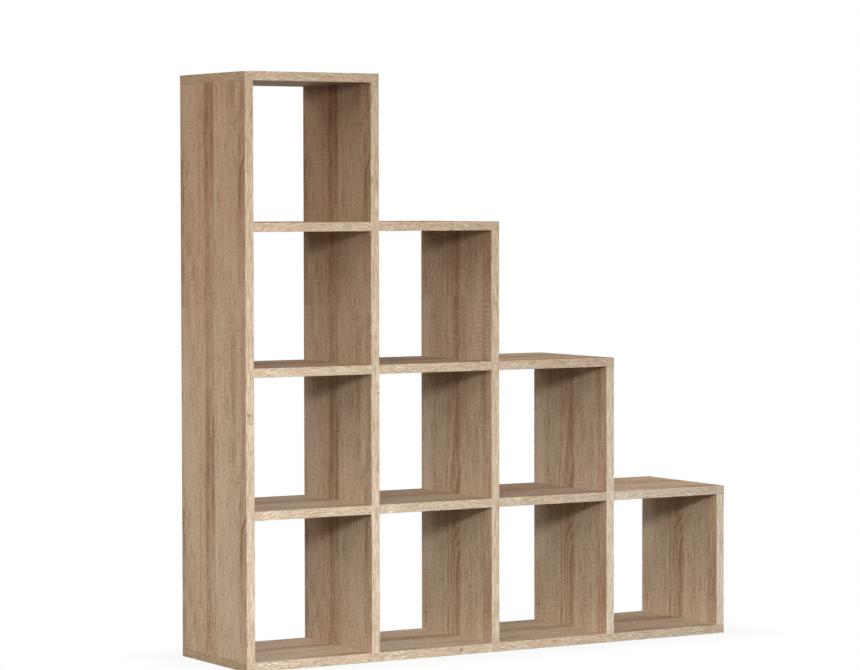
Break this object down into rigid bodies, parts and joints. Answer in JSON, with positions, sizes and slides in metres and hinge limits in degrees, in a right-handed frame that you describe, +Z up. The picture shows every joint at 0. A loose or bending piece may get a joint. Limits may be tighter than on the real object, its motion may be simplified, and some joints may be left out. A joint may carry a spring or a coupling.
{
  "type": "staircase bookshelf",
  "caption": "Open free-standing staircase bookshelf with board uprights, shelves and step tops, edge banding and hidden cam-lock joints.",
  "frame": {"origin": "centre of the underside, which rests on the floor", "axes": "+X to the right towards the lowest step, +Y to the back, +Z up; the front faces -Y"},
  "size_m": [1.385, 0.338, 1.418],
  "materials": {
    "board": "matt melamine face with a rough-sawn light oak grain",
    "edge_banding": "matt banding with a pale oak grain",
    "cam_zinc": "die-cast zinc, satin",
    "plated_steel": "zinc-plated steel",
    "beech": "bare fluted beech"
  },
  "bodies": {
    "root": {"base_panel": "board", "left_side_panel": "board", "divider_panel_1": "board", "divider_panel_2": "board", "divider_panel_3": "board", "right_side_panel": "board", "step_panel_1": "board", "step_panel_2": "board", "step_panel_3": "board", "step_panel_4": "board", "shelf_panel_1_1": "board", "shelf_panel_1_2": "board", "shelf_panel_1_3": "board", "shelf_panel_2_1": "board", "shelf_panel_2_2": "board", "shelf_panel_3_1": "board", "base_panel_edge_banding": "edge_banding", "left_side_panel_edge_banding": "edge_banding", "divider_panel_1_edge_banding": "edge_banding", "divider_panel_2_edge_banding": "edge_banding", "divider_panel_3_edge_banding": "edge_banding", "right_side_panel_edge_banding": "edge_banding", "step_panel_1_edge_banding": "edge_banding", "step_panel_2_edge_banding": "edge_banding", "step_panel_3_edge_banding": "edge_banding", "step_panel_4_edge_banding": "edge_banding", "shelf_panel_1_1_edge_banding": "edge_banding", "shelf_panel_1_2_edge_banding": "edge_banding", "shelf_panel_1_3_edge_banding": "edge_banding", "shelf_panel_2_1_edge_banding": "edge_banding", "shelf_panel_2_2_edge_banding": "edge_banding", "shelf_panel_3_1_edge_banding": "edge_banding", "cam_locks": "cam_zinc", "cam_bolts": "plated_steel", "through_bolts": "plated_steel", "base_screws": "plated_steel", "short_dowels": "beech", "through_dowels": "beech"}
  },
  "joints": []
}
